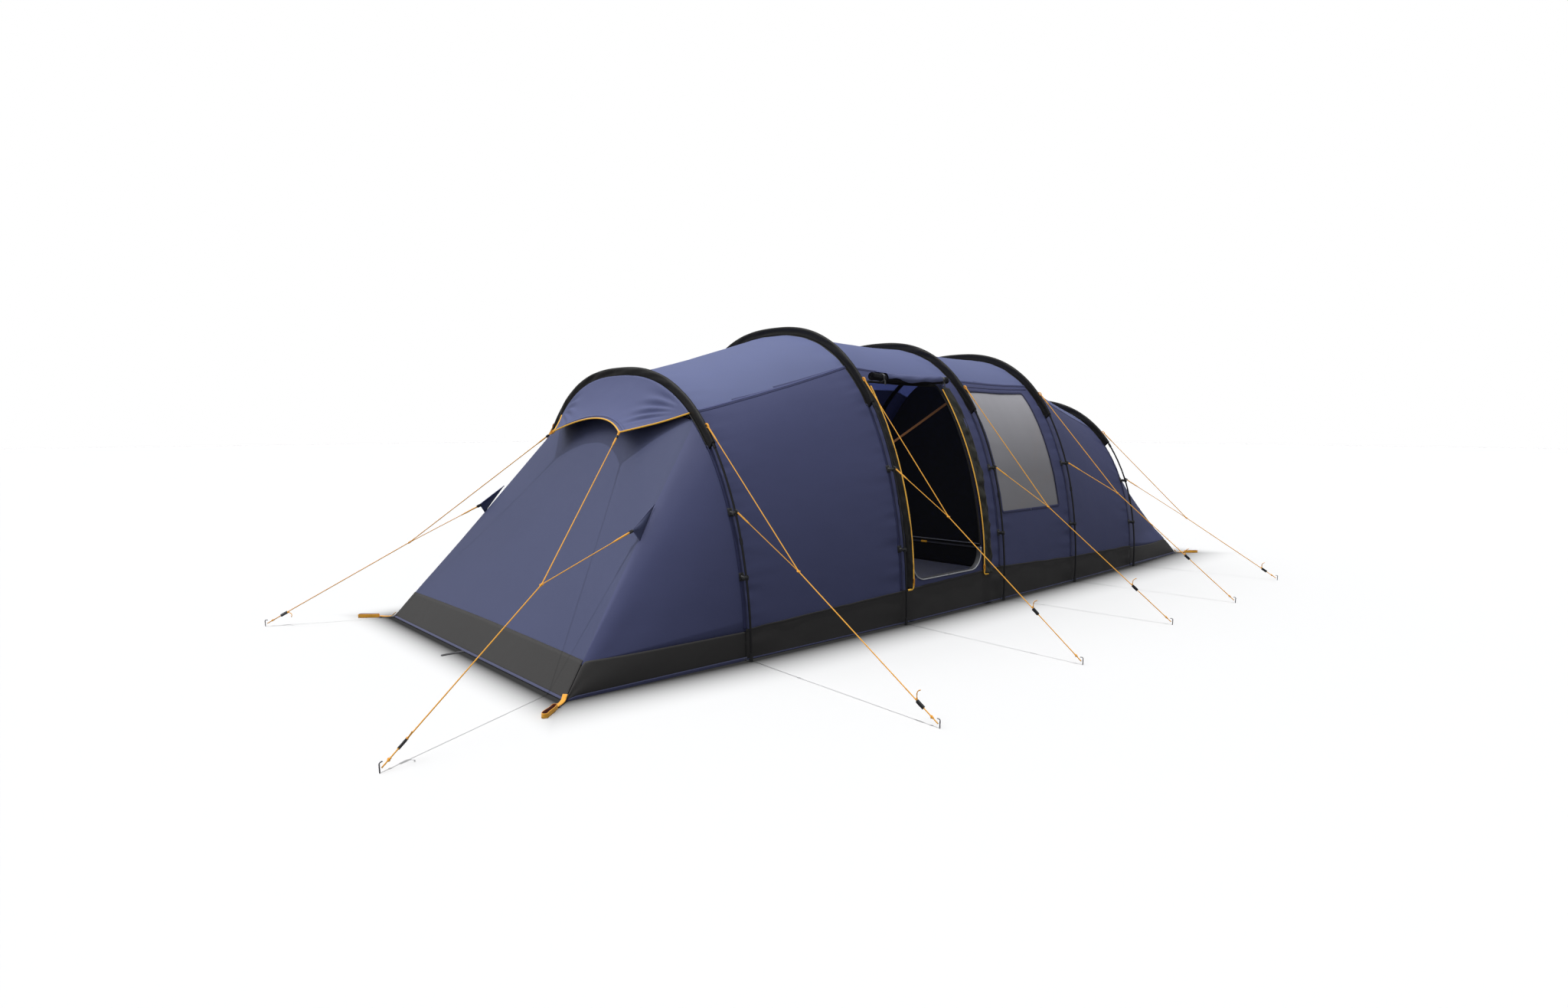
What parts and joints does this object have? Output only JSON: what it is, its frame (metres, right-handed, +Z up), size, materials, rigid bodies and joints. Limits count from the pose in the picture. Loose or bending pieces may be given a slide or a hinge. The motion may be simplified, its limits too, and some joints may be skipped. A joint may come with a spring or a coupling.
{
  "type": "tunnel tent",
  "caption": "Tunnel tent on black arched poles, with a sloping front under a small hood, an open side door, a tinted side window and taut forked guy lines.",
  "frame": {"origin": "on the ground at the middle of the footprint", "axes": "+Y along the tent from the front to the rear, +X towards the door side, +Z up"},
  "size_m": [5.3732, 8.2719, 2.0512],
  "materials": {
    "fly_cloth": "coated polyester weave, faint sheen",
    "black_cloth": "matt woven polyester",
    "band_cloth": "heavier coated charcoal cloth",
    "inner_cloth": "matt dark breathable cloth",
    "floor_sheet": "woven polyethylene, low gloss",
    "window_film": "grey tinted soft film",
    "pole": "black pultruded fibreglass",
    "ferrule_steel": "plated steel tube",
    "black_plastic": "moulded nylon",
    "grey_webbing": "woven tape",
    "orange_webbing": "woven tape",
    "zip_tape": "coil zip and tape",
    "elastic": "braided elastic",
    "guy_cord": "braided cord",
    "peg_steel": "plated wire"
  },
  "bodies": {
    "tent": {"arch_pole_1": "pole", "arch_pole_2": "pole", "arch_pole_3": "pole", "arch_pole_4": "pole", "arch_pole_5": "pole", "corner_buckles": "black_plastic", "corner_webbing": "orange_webbing", "door_roll": "inner_cloth", "door_roll_straps": "grey_webbing", "door_zips": "zip_tape", "fold_tabs": "fly_cloth", "foot_straps": "grey_webbing", "front_elastic_loop": "elastic", "front_hood": "fly_cloth", "front_wall": "fly_cloth", "ground_band_ends": "band_cloth", "ground_band_sides": "band_cloth", "groundsheet": "floor_sheet", "guy_pegs": "peg_steel", "guys_left": "guy_cord", "guys_right": "guy_cord", "inner_room_front": "inner_cloth", "inner_room_rear": "inner_cloth", "left_side_bay_1": "fly_cloth", "left_side_bay_2": "fly_cloth", "left_side_bay_3": "fly_cloth", "left_side_bay_4": "fly_cloth", "pole_clips": "black_plastic", "pole_feet": "black_plastic", "pole_ferrules": "ferrule_steel", "pole_sleeve_1": "black_cloth", "pole_sleeve_2": "black_cloth", "pole_sleeve_3": "black_cloth", "pole_sleeve_4": "black_cloth", "pole_sleeve_5": "black_cloth", "rear_wall": "fly_cloth", "right_side_bay_1": "fly_cloth", "right_side_bay_2": "fly_cloth", "right_side_bay_3": "fly_cloth", "right_side_bay_4": "fly_cloth", "roof_bay_1": "fly_cloth", "roof_bay_2": "fly_cloth", "roof_bay_3": "fly_cloth", "roof_bay_4": "fly_cloth", "tension_strap": "orange_webbing", "window_pane": "window_film"},
    "runner_right_1": {"runner_right_1": "black_plastic"},
    "runner_right_2": {"runner_right_2": "black_plastic"},
    "runner_right_3": {"runner_right_3": "black_plastic"},
    "runner_right_4": {"runner_right_4": "black_plastic"},
    "runner_right_5": {"runner_right_5": "black_plastic"},
    "runner_front_right": {"runner_front_right": "black_plastic"},
    "runner_left_1": {"runner_left_1": "black_plastic"},
    "runner_left_2": {"runner_left_2": "black_plastic"},
    "runner_left_3": {"runner_left_3": "black_plastic"},
    "runner_left_4": {"runner_left_4": "black_plastic"},
    "runner_left_5": {"runner_left_5": "black_plastic"},
    "runner_front_left": {"runner_front_left": "black_plastic"},
    "zip_slider_front": {"zip_slider_front": "black_plastic"},
    "zip_slider_rear": {"zip_slider_rear": "black_plastic"}
  },
  "joints": [
    {"name": "runner_right_1_slide", "type": "slide", "parent": "tent", "child": "runner_right_1", "axis": [-0.8585, 0.0358, 0.5115], "range_m": [-0.035, 0.63]},
    {"name": "runner_right_2_slide", "type": "slide", "parent": "tent", "child": "runner_right_2", "axis": [-0.7865, 0.0049, 0.6176], "range_m": [-0.295, 0.37]},
    {"name": "runner_right_3_slide", "type": "slide", "parent": "tent", "child": "runner_right_3", "axis": [-0.7795, -0.0759, 0.6218], "range_m": [-0.235, 0.43]},
    {"name": "runner_right_4_slide", "type": "slide", "parent": "tent", "child": "runner_right_4", "axis": [-0.7742, -0.0496, 0.6309], "range_m": [-0.375, 0.29]},
    {"name": "runner_right_5_slide", "type": "slide", "parent": "tent", "child": "runner_right_5", "axis": [-0.8423, -0.1104, 0.5276], "range_m": [-0.025, 0.64]},
    {"name": "runner_front_right_slide", "type": "slide", "parent": "tent", "child": "runner_front_right", "axis": [-0.379, 0.7959, 0.472], "range_m": [-0.035, 0.63]},
    {"name": "runner_left_1_slide", "type": "slide", "parent": "tent", "child": "runner_left_1", "axis": [0.8585, 0.0358, 0.5115], "range_m": [-0.035, 0.63]},
    {"name": "runner_left_2_slide", "type": "slide", "parent": "tent", "child": "runner_left_2", "axis": [0.7865, 0.0049, 0.6176], "range_m": [-0.295, 0.37]},
    {"name": "runner_left_3_slide", "type": "slide", "parent": "tent", "child": "runner_left_3", "axis": [0.7795, -0.0759, 0.6218], "range_m": [-0.235, 0.43]},
    {"name": "runner_left_4_slide", "type": "slide", "parent": "tent", "child": "runner_left_4", "axis": [0.7742, -0.0496, 0.6309], "range_m": [-0.375, 0.29]},
    {"name": "runner_left_5_slide", "type": "slide", "parent": "tent", "child": "runner_left_5", "axis": [0.8423, -0.1104, 0.5276], "range_m": [-0.025, 0.64]},
    {"name": "runner_front_left_slide", "type": "slide", "parent": "tent", "child": "runner_front_left", "axis": [0.366, 0.7924, 0.488], "range_m": [-0.035, 0.63]},
    {"name": "zip_slider_front_travel", "type": "hinge", "parent": "tent", "child": "zip_slider_front", "pos_m": [-1.19564, -0.974, 0.20945], "axis": [0, -1, 0], "range_deg": [0, 31.3]},
    {"name": "zip_slider_rear_travel", "type": "hinge", "parent": "tent", "child": "zip_slider_rear", "pos_m": [-1.11484, -0.126, 0.21324], "axis": [0, -1, 0], "range_deg": [0, 32.6]}
  ]
}
